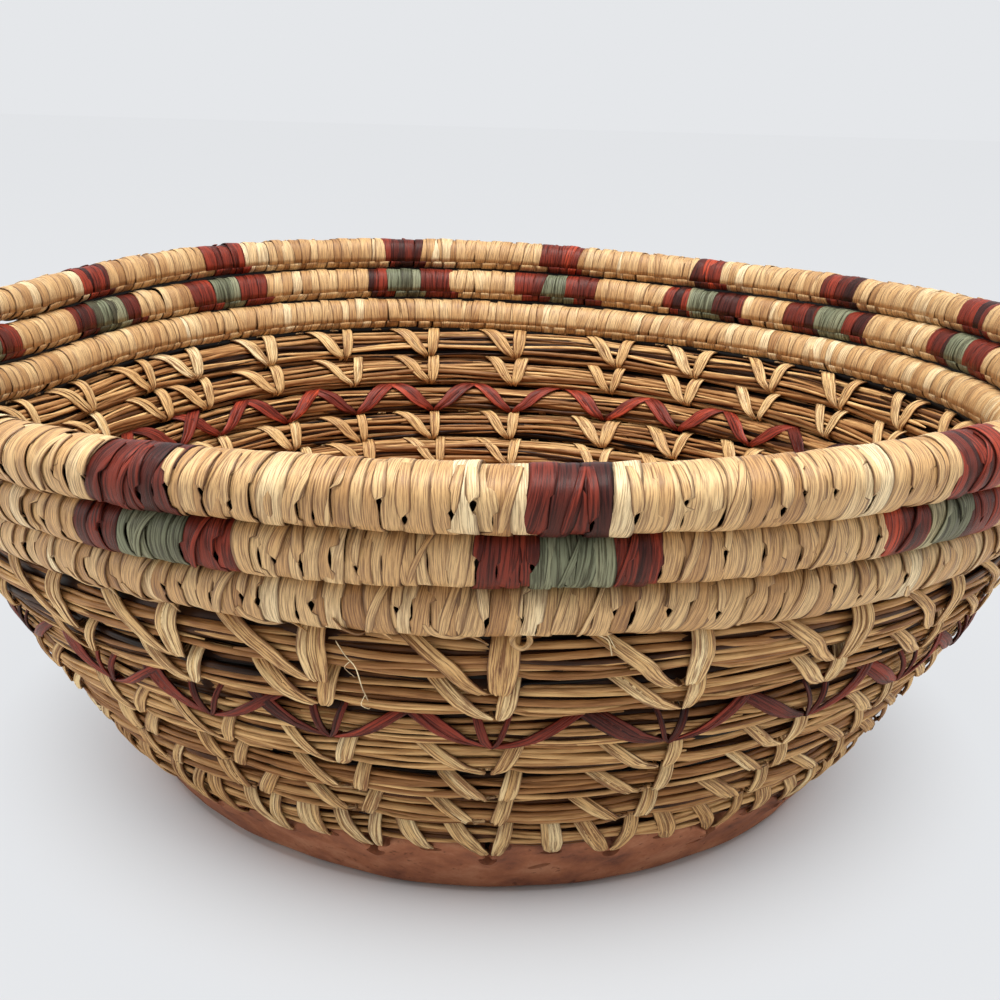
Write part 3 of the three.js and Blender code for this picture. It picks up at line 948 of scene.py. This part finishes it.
def add_tongues():
    share = np.linspace(0, 1, 15)
    top_turn = 96
    for travel, tip, slant, hole in tongues:
        travel = travel if hole is None else holes[hole][0]
        if colour_at(travel) != colour_at(travel + degrees_along(slant, travel)):
            continue
        turns = top_turn + (tip - 2 - top_turn) * share
        path = travel + degrees_along(slant, travel) * (1 - share) ** 1.3
        lift = 0.34 + 0.14 * np.sin(math.pi * share) - 5 * np.clip(share - 0.93, 0, 1)
        shape = np.interp(share, [0, 0.35, 0.7, 0.85, 0.94, 1], [0.8, 0.95, 1, 0.85, 0.55, 0.2])
        widths = rng.uniform(0.55, 1.0) * shape * (0.8 if slant > 2 else 1)
        tone = rng.normal(0.33, 0.1)
        tilt = rng.normal(0, 0.05)
        strands = wraps[colour_at(travel)]
        # The tongues' painted edge shade starts nearer their middle, so a wider line of painted shade rings them.
        add_band(strands, path, turns, widths, lift, 0.22, tone, tilt, ridge_height=0.03, rim=0.08)


# Ends of strands that come out below the lowest wrapped row and taper off towards the right
TAIL_TRAVELS = [2569.2, 2576.1, 2582.4]
TAILS_ELSEWHERE = 22
# A loose end there that curls into a ring
CURL_TRAVEL = 2588.9
CURL_RADIUS = 1.3
CURL_START = [(CURL_TRAVEL - 0.3, 20, 0.5), (CURL_TRAVEL - 0.4, -12, 0.8), (CURL_TRAVEL - 0.6, -36, 1.2)]
# Fine fibres there: radius, tone, and the travel, turn and lift of the places that each goes through
HAIRS = [
    (0.13, 0.7, [(2593.3, -30, 0.4), (2594.3, -55, 1.0), (2235.2, 55, 1.3), (2235.4, 28, 0.9)]),
    (0.1, 0.8, [(2594.0, -40, 0.6), (2235.0, 66, 1.6), (2235.6, 42, 1.3)]),
    (0.09, 1.0, [(2215.7, 40, 0.5), (2216.5, 14, 0.9), (2217.2, -5, 1.1), (1857.2, 35, 1.3), (1857.6, 5, 0.8)]),
    (0.07, 1.0, [(1857.4, 20, 0.8), (1856.9, -4, 1.1), (1857.5, -25, 0.9), (1497.1, 60, 0.6)]),
    (0.06, 1.0, [(2216.8, 4, 0.9), (2216.2, -10, 1.2), (1856.6, 50, 1.0)]),
]


def thread(corners):
    """A smooth path through a few places, and the skin's normals along it."""
    travel, turn, lift = np.array(corners, float).T
    places, normals = on_row(travel, turn, lift, oval(NEEDLE_HALF_HEIGHT, NEEDLE_HALF_WIDTH))
    knots = np.arange(len(corners))
    fine = np.linspace(0, len(corners) - 1, 7 * (len(corners) - 1) + 1)
    centres, normals = (
        np.stack([np.interp(fine, knots, axis) for axis in points.T], 1) for points in (places, normals)
    )
    return smoothed(centres, 6), unit(normals)


def add_tail(strands, travel):
    reach = rng.uniform(0.9, 1.25)
    after = travel - FULL_TURN
    corners = [
        (travel, 0, 0.5),
        (travel + 0.4, -22, 0.85),
        (travel + 1.3 * reach, -42, 1.2),
        (after + 2.4 * reach, 66, 1.4),
        (after + 3.6 * reach, 50, 0.9),
    ]
    centres, normals = thread(corners)
    share = np.linspace(0, 1, len(centres))
    widths = rng.uniform(0.5, 0.75) * np.interp(share, [0, 0.15, 0.6, 1], [0.6, 1, 0.8, 0.12])
    add_ribbon(strands, centres, normals, widths, 0.25, rng.normal(0.32, 0.1), 6, 0.05, rng.normal(0, 0.15))


def add_curl(strands):
    after = CURL_TRAVEL - FULL_TURN
    centres, normals = thread(CURL_START)
    middle, _ = thread([(after, 58, 1.6), (after + 0.1, 58, 1.6)])
    sideways = unit(middle[-1] - middle[0])
    around = np.radians(np.linspace(125, 425, 19))[:, None]
    ring = middle[0] + CURL_RADIUS * (np.cos(around) * sideways + np.sin(around) * [0, 0.2, 0.98])
    centres = smoothed(np.concatenate([centres[::3], ring]), 2)
    add_needle(strands, centres, np.tile(normals[-1], (len(centres), 1)), 0.5, 0.42, 0.3)


def add_loose_ends():
    strands = wraps[("natural", 0)]
    elsewhere = WRAP_START + rng.uniform(0, FULL_TURN - 20, TAILS_ELSEWHERE)
    for travel in TAIL_TRAVELS + list(elsewhere[np.abs(elsewhere - CURL_TRAVEL) > 24]):
        add_tail(strands, travel)
    add_curl(strands)
    for radius, tone, corners in HAIRS:
        add_needle(strands, *thread(corners), radius, radius, tone, 5)


add_wraps()
add_tongues()
add_loose_ends()

# Raffia stitches: on each bare row the strand goes round the bundle twice per column
STITCH_HALF_HEIGHT = 4.2
STITCH_HALF_WIDTH = NEEDLE_HALF_WIDTH + 0.3
SAUCER_FACE = SAUCER_WALL / 2 + SEAT + 0.25
# Each row's stitches, from row one up: how far below the row's centre line they go in outside, at which turn from
# the lowest they start to lean, the usual lean of their long and short arms, and the short arms' width
STITCHES = [
    (4.2, 26, 4.8, 0.5, 1.2),
    (-0.6, 66, 7.5, 1.6, 1.2),
    (-0.6, 66, 7.6, 1.7, 1.2),
    (1.4, 58, 8.2, 2.0, 1.3),
    (2.4, 48, 11.4, 11.4, 1.05),
    (2.9, 42, 9.3, 1.2, 1.2),
    (6.2, 26, 11.6, -0.6, 1.9),
]
INNER_DROP = 4.4
INNER_FOOT_TURNS = 26
# Feet that start to lean later than this go in high on their bundle, so their strands start further out
INNERMOST_TURN = 42
# Turn from the lowest at which a stitch has leaned all its way
LEANED_TURN = 153.0


def stitch_outline(foot_drop, hole):
    """Outline that a stitch follows: its foot pierces the bundles, or goes through a hole in the saucer."""
    top = STITCH_HALF_HEIGHT
    side = STITCH_HALF_WIDTH
    if hole:
        turns = np.array([-270.0, -180, -155, -130, -110, -100, -80, -70, -50, -25, 0, 90, 105])
        near, far = hole + 1.9, hole + 0.5
        ups = np.array([top, 0, -2.4, near, far, hole, hole, far, near, -2.4, 0, top, top])
        face = SAUCER_FACE
        outs = np.array([0, -side, -side, -face, -face + 0.4, -1, 1, face - 0.4, face, side, side, 0, -1])
    else:
        turns = np.array([-270.0, -180, -160, -138, -118, -100, -80, -62, -42, -20, 0, 90, 105])
        ups = np.array([0, 0, -0.46, -0.76, -0.96, -1, -1, -0.96, -0.76, -0.46, 0, 0, 0])
        ups[:6] *= INNER_DROP
        ups[6:] *= foot_drop
        ups[[0, -2, -1]] = top
        outs = side * np.array([0, -1, -1, -0.98, -0.88, -0.3, 0.3, 0.88, 0.98, 1, 1, 0, -0.25])
    plain = oval(top, side, 0.92)

    def outline(turn):
        smooth = [-6.0, -3.0, 0.0, 3.0, 6.0]
        up = sum(np.interp(turn + shift, turns, ups) for shift in smooth) / len(smooth)
        outward = sum(np.interp(turn + shift, turns, outs) for shift in smooth) / len(smooth)
        plain_up, plain_out = plain(turn)
        low = np.sin(np.radians(turn)) < 0
        return np.where(low, up, plain_up), np.where(low, outward, plain_out)

    return outline


def stitch_arm(strands, top, foot, wide, outline, tone, lift, foot_turns, inside=False, parts=3):
    """Half a stitch: a few fibres side by side from its top down to its pointed foot."""
    for part in range(parts):
        away = np.linspace(rng.uniform(-4, 14) + max(foot_turns - INNERMOST_TURN, 0), 198, 17)
        turns = -90 - away if inside else -90 + away
        slide = (away - foot_turns) / (LEANED_TURN - foot_turns)
        spread = np.interp(slide, [-0.2, -0.03, 0.19, 0.54, 0.86, 1.35], [0.1, 0.28, 0.72, 1, 0.92, 0.8])
        slide = np.clip(slide, 0, 1.08)
        beside = (part - (parts - 1) / 2) * 1.24 / (parts - 1) * wide + rng.uniform(-0.1, 0.1)
        path = foot + (top - foot) * slide + degrees_along(beside * spread, foot)
        half_widths = wide * rng.uniform(0.95, 1.35) / parts * spread + 0.08
        centres, normals = on_row(path, turns, lift + rng.uniform(0, 0.14), outline)
        part_tone = tone + rng.normal(0, 0.11)
        add_ribbon(strands, centres, normals, half_widths, 0.3, part_tone, 7, 0.1, rng.normal(0, 0.1))


def stitch_row(row):
    """A row's stitches, each a V outside and one inside, and row one's lashings between them."""
    strands = Strands()
    zigzag = row == ZIGZAG_ROW
    loose, redder, widths = (0.35, 0.12, (1.6, 2.1)) if zigzag else (1.0, 0.04, (1.25, 1.75))
    inner_leans = ((10.5, 12.0), (10.5, 12.0)) if zigzag else ((0.5, 2.5), (6.5, 9.5))
    usual_drop, turns, long_lean, short_lean, short_width = STITCHES[row - 1]
    for column in range(COLUMNS):
        travel = column_travel(row, column) + rng.normal(0, 0.25)
        foot_drop = usual_drop + rng.uniform(-0.4, 0.4)
        outline = stitch_outline(foot_drop, HOLE_MIDDLE if row == 1 and lashed_to_saucer(travel) else None)
        scale = degrees_along(1.0, travel)
        left = travel - rng.uniform(0.5, 1.0) * scale
        right = travel + rng.uniform(0.4, 0.8) * scale
        long_top = left - (long_lean + rng.uniform(-2.0, 1.6) * loose) * scale
        short_top = right + (short_lean + rng.uniform(-0.8, 1.4) * loose) * scale
        inner_left = left - rng.uniform(*inner_leans[0]) * scale
        inner_right = right + rng.uniform(*inner_leans[1]) * scale
        wide = rng.uniform(*widths)
        short_wide = short_width * rng.uniform(0.85, 1.2)
        tone = rng.normal(0.36, 0.12)
        stitch_arm(strands, long_top, left, wide, outline, tone, 0.05, turns)
        stitch_arm(strands, short_top, right, short_wide, outline, tone + redder, 0.12, turns)
        for top, foot, half_width, lift in (
            (inner_left, left, wide * rng.uniform(1.0, 1.3), 0.12),
            (inner_right, right, wide * 1.25, 0.05),
        ):
            stitch_arm(strands, top, foot, half_width, outline, tone, lift, INNER_FOOT_TURNS, inside=True)
        middle = half_way(column)
        if row == 1 and lashed_to_saucer(middle):
            top = middle - rng.uniform(0.5, 4.5) * scale
            outline = stitch_outline(0, LASHING_HOLE)
            for inside in (False, True):
                stitch_arm(strands, top, middle, rng.uniform(1.5, 2.2), outline, tone, 0.05, turns, inside)
        if zigzag:
            for side in (-1, 1):
                top = travel + side * rng.uniform(2.0, 3.0) * scale
                half_width = rng.uniform(0.3, 0.55)
                stitch_arm(strands, top, travel, half_width, outline, tone - 0.1, 0.25, turns, parts=2)
    return strands.build(f"raffia_stitches_row_{row}", BURGUNDY if zigzag else NATURAL)


def keep(piece, slot_name, *nodes):
    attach(piece, "root")
    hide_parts(*nodes)


keep(clay_saucer, "clay", "saucer_base")
keep(needle_coil(), "pine_needle", "needle_coil")
for i, place_name in enumerate(("lower", "middle", "rim")):
    piece = wraps[("natural", i)].build(f"raffia_wraps_{place_name}", NATURAL_WRAPS)
    keep(piece, "raffia_natural", "natural_wraps")
for i in range(MOTIFS):
    for colour, material in (("burgundy", BURGUNDY), ("sage", SAGE)):
        piece = wraps[(colour, i)].build(f"{colour}_wraps_{i + 1:02d}", material)
        keep(piece, f"raffia_{colour}", f"motif_{colour}_{i + 1:02d}")
for row in range(1, BARE_ROWS + 1):
    slot_name = "raffia_burgundy" if row == ZIGZAG_ROW else "raffia_natural"
    keep(stitch_row(row), slot_name, f"stitch_row_{row}")


# Table top, which the camera sees glow in the backdrop's colour away from the basket: painted light that lightens
# the basket's shadow from 76 mm out. Sizes in metres.
BACKDROP = srgb(229, 231, 234)
BOUNCE = srgb(208, 205, 202)
TABLE_HALF = 4.0
FADE_START, FADE_END = 0.076, 0.114
FADE_MOST = 0.92


def table_material():
    material, tree = new_material("pale_table")
    shader = tree.nodes["Principled BSDF"]
    shader.inputs["Roughness"].default_value = 0.6
    mottle = add_node(tree, "TexNoise", {"Scale": 3.0}).outputs["Fac"]
    colours = ramp(tree, mottle, [(0.3, (224, 226, 229)), (0.7, (227, 229, 232))])
    camera_ray = add_node(tree, "LightPath", {}).outputs["Is Camera Ray"]
    connect(tree, shader, {"Base Color": mixed(tree, "MIX", camera_ray, BOUNCE, colours)})
    # Painted light: the camera sees this glow mixed in, from none near the basket to most of it further out, so
    # the shadow lightens outwards.
    far = add_node(tree, "Emission", {"Color": BACKDROP})
    where = add_node(tree, "TexCoord", {}).outputs["Object"]
    distance = add_node(tree, "VectorMath", {0: where}, operation="LENGTH").outputs["Value"]
    limits = {"Value": distance, "From Min": FADE_START, "From Max": FADE_END, "To Max": FADE_MOST}
    fade = add_node(tree, "MapRange", limits).outputs["Result"]
    share = add_node(tree, "Math", {0: fade}, operation="SQRT").outputs[0]
    seen = add_node(tree, "Math", {0: share, 1: camera_ray}, operation="MULTIPLY").outputs[0]
    blend = add_node(tree, "MixShader", {"Fac": seen, 1: shader.outputs[0], 2: far.outputs[0]})
    connect(tree, tree.nodes["Material Output"], {"Surface": blend.outputs[0]})
    return material


table_mesh = bpy.data.meshes.new("table_top")
table_corners = [(-1, -1), (1, -1), (1, 1), (-1, 1)]
table_mesh.from_pydata([(x * TABLE_HALF, y * TABLE_HALF, 0) for x, y in table_corners], [], [(0, 1, 2, 3)])
table_mesh.materials.append(table_material())
table_top = new_object("table_top", table_mesh)

# Light: places and sizes in metres, power in watts
LAMP_COLOUR = (1.0, 0.97, 0.93)
LAMPS = (
    ("softbox_top", (0.0, -0.27, 1.16), (0, 0, 0.05), 0.9, 22.5),
    ("softbox_left", (-1.0, -0.2, 0.3), (0, 0, 0.04), 0.8, 3.4),
    ("softbox_right", (1.0, -0.2, 0.3), (0, 0, 0.04), 0.8, 2.2),
)


def light_world():
    """Soft light from all sides, which the camera and gloss see as the plain backdrop."""
    world = bpy.data.worlds.new("studio")
    bpy.context.scene.world = world
    world.use_nodes = True
    tree = world.node_tree
    ambient = tree.nodes["Background"]
    connect(tree, ambient, {"Color": (1.0, 0.97, 0.92, 1), "Strength": 0.36})
    seen = add_node(tree, "Background", {"Color": BACKDROP, "Strength": 1.0})
    ray = add_node(tree, "LightPath", {}).outputs
    rays = {0: ray["Is Camera Ray"], 1: ray["Is Glossy Ray"]}
    either = add_node(tree, "Math", rays, operation="MAXIMUM").outputs[0]
    chosen = add_node(tree, "MixShader", {"Fac": either, 1: ambient.outputs[0], 2: seen.outputs[0]})
    connect(tree, tree.nodes["World Output"], {"Surface": chosen.outputs[0]})


light_world()
for name, position, target, size, power in LAMPS:
    lamp_data = bpy.data.lights.new(name, "AREA")
    lamp_data.shape = "DISK"
    lamp_data.size = size
    lamp_data.energy = power
    lamp_data.color = LAMP_COLOUR
    lamp = new_object(name, lamp_data)
    lamp.location = position
    lamp.rotation_euler = (Vector(target) - Vector(position)).to_track_quat("-Z", "Y").to_euler()


# Camera: a close wide view from a little above the rim, as fitted to the photograph. The focal length is in
# thousandths of the frame's width, distances in millimetres and angles in radians.
FOCAL = 1273.4
DISTANCE = 276.14
CAMERA_HEIGHT = 141.48
PITCH, ROLL, YAW = 0.3176, 0.0279, 0.006
SENSOR_WIDTH = 36
camera_data = bpy.data.cameras.new("photo_view")
camera_data.sensor_width = SENSOR_WIDTH
camera_data.lens = FOCAL / 1000 * SENSOR_WIDTH
camera_data.clip_start = 0.01
camera = new_object("photo_view", camera_data)
stand = Matrix.Translation((0, -DISTANCE * MM, CAMERA_HEIGHT * MM))
aim = Matrix.Rotation(-YAW, 4, "Z") @ Matrix.Rotation(math.pi / 2 - PITCH, 4, "X")
camera.matrix_world = stand @ aim @ Matrix.Rotation(ROLL, 4, "Z")
bpy.context.scene.camera = camera
bpy.context.scene.view_settings.view_transform = "Standard"
